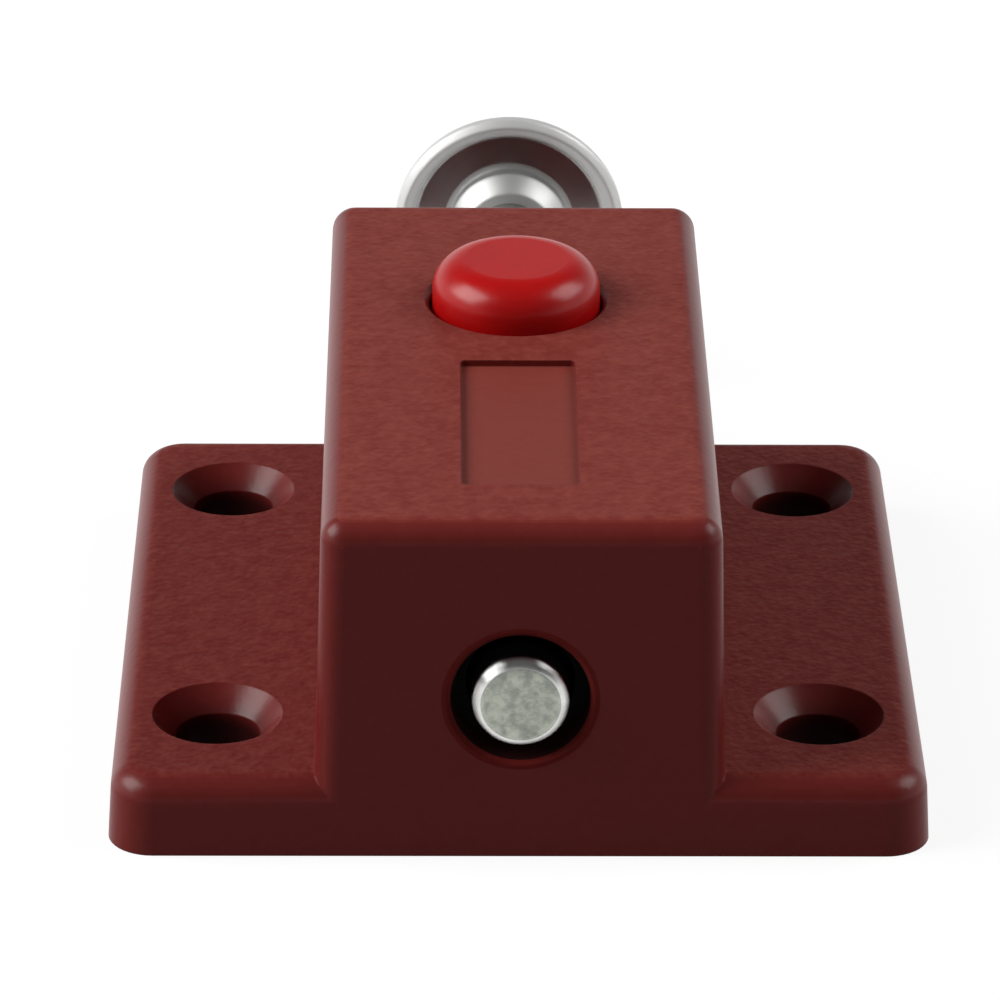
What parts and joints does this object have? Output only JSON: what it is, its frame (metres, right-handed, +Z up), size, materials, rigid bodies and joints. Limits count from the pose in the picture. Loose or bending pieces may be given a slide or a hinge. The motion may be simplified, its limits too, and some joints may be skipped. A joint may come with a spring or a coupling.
{
  "type": "spring-loaded bolt",
  "caption": "Surface-mounted spring bolt: moulded housing with screw wings, round steel bolt, pull knob at the rear and a push button that releases the cocked bolt.",
  "frame": {"origin": "centre of the housing's underside, on the face that the part is screwed down with", "axes": "+Z up from the mounting face, -Y the way the bolt shoots, +Y towards the pull knob, +X across the wings"},
  "size_m": [0.0504, 0.0747, 0.0252],
  "materials": {
    "housing_plastic": "maroon moulded plastic with a fine spark-eroded grain",
    "cover_plastic": "maroon moulded plastic, smooth",
    "zinc_screw": "zinc plated steel",
    "buffer_rubber": "black moulded rubber",
    "spring_steel": "spring steel",
    "washer_steel": "zinc plated pressed steel",
    "bolt_steel": "bright nickel plated steel with a dull end face",
    "knob_chrome": "polished chrome plating",
    "button_plastic": "glossy red moulded plastic"
  },
  "bodies": {
    "housing_body": {"housing": "housing_plastic", "base_cover": "cover_plastic", "cover_screw_1": "zinc_screw", "cover_screw_2": "zinc_screw", "cover_screw_3": "zinc_screw", "cover_screw_4": "zinc_screw", "front_buffer": "buffer_rubber", "bolt_spring": "spring_steel", "button_spring": "spring_steel"},
    "washer_body": {"thrust_washer": "washer_steel"},
    "bolt_body": {"bolt": "bolt_steel", "retaining_ring": "spring_steel", "pull_knob": "knob_chrome"},
    "button_body": {"release_button": "button_plastic", "catch_plate": "washer_steel"}
  },
  "joints": [
    {"name": "bolt_slide", "type": "slide", "parent": "housing_body", "child": "washer_body", "axis": [0, -1, 0], "range_m": [0, 0.015], "deforming": ["bolt_spring"]},
    {"name": "bolt_turn", "type": "hinge", "parent": "washer_body", "child": "bolt_body", "pos_m": [0, 0, 0.0108], "axis": [0, -1, 0], "continuous": true},
    {"name": "button_press", "type": "slide", "parent": "housing_body", "child": "button_body", "axis": [0, 0, -1], "range_m": [0, 0.002], "stiffness_N_per_m": 300, "deforming": ["button_spring"]}
  ]
}
